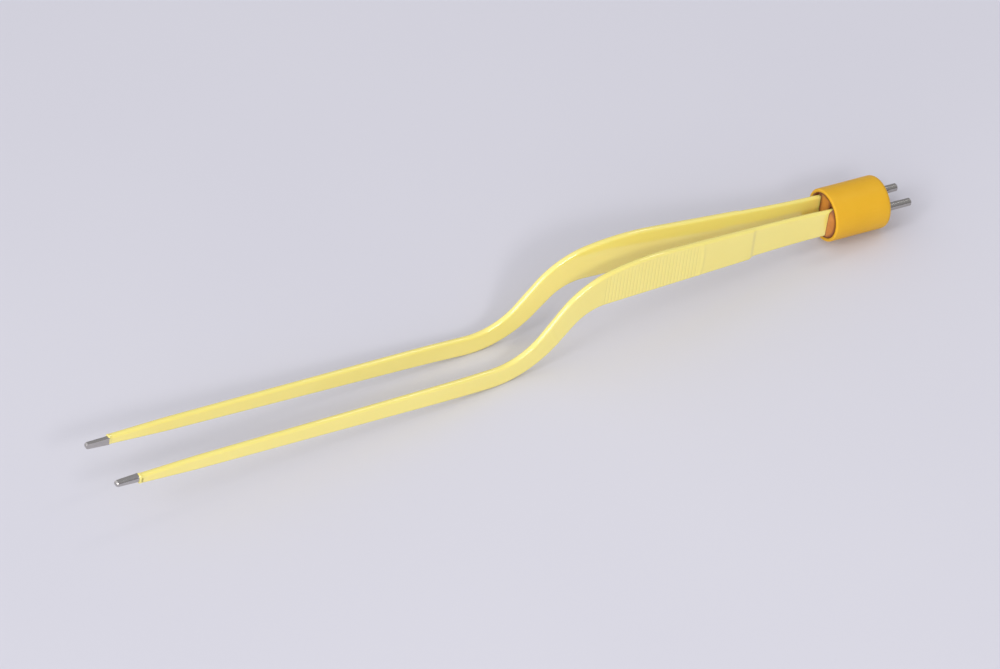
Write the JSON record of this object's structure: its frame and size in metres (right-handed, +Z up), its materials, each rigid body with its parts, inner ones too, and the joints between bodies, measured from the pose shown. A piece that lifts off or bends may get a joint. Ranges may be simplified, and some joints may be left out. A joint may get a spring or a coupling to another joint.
{
  "type": "bipolar forceps",
  "caption": "Bayonet bipolar forceps: insulated spring arms with bare half-round tips, joined in a round two-pin connector cap.",
  "frame": {"origin": "middle of the bounding box at the level on which the forceps lie", "axes": "+X from the tips to the connector pins, +Y from the left arm to the right arm as the connector end sees them, +Z up from the table"},
  "size_m": [0.2206, 0.0174, 0.0213],
  "materials": {
    "cap_plastic": "satin moulded plastic, orange-yellow",
    "casting_resin": "cast resin, brown-orange",
    "pin_metal": "nickel plated, turned",
    "blade_steel": "polished stainless steel",
    "yellow_coat": "glossy dip-coated nylon, pale yellow"
  },
  "bodies": {
    "connector": {"connector_cap": "cap_plastic", "potting_resin": "casting_resin", "left_contact_pin": "pin_metal", "right_contact_pin": "pin_metal"},
    "left_arm": {"left_blade": "blade_steel", "left_coating": "yellow_coat"},
    "right_arm": {"right_blade": "blade_steel", "right_coating": "yellow_coat"}
  },
  "joints": [
    {"name": "left_arm_flex", "type": "hinge", "parent": "connector", "child": "left_arm", "pos_m": [0.09298, -0.00302, 0.00772], "axis": [-0.1223, 0, -0.9925], "range_deg": [0, 1.99], "stiffness_Nm_per_rad": 4},
    {"name": "right_arm_flex", "type": "hinge", "parent": "connector", "child": "right_arm", "pos_m": [0.09298, 0.00302, 0.00772], "axis": [0.1223, 0, 0.9925], "range_deg": [0, 1.99], "stiffness_Nm_per_rad": 4}
  ]
}
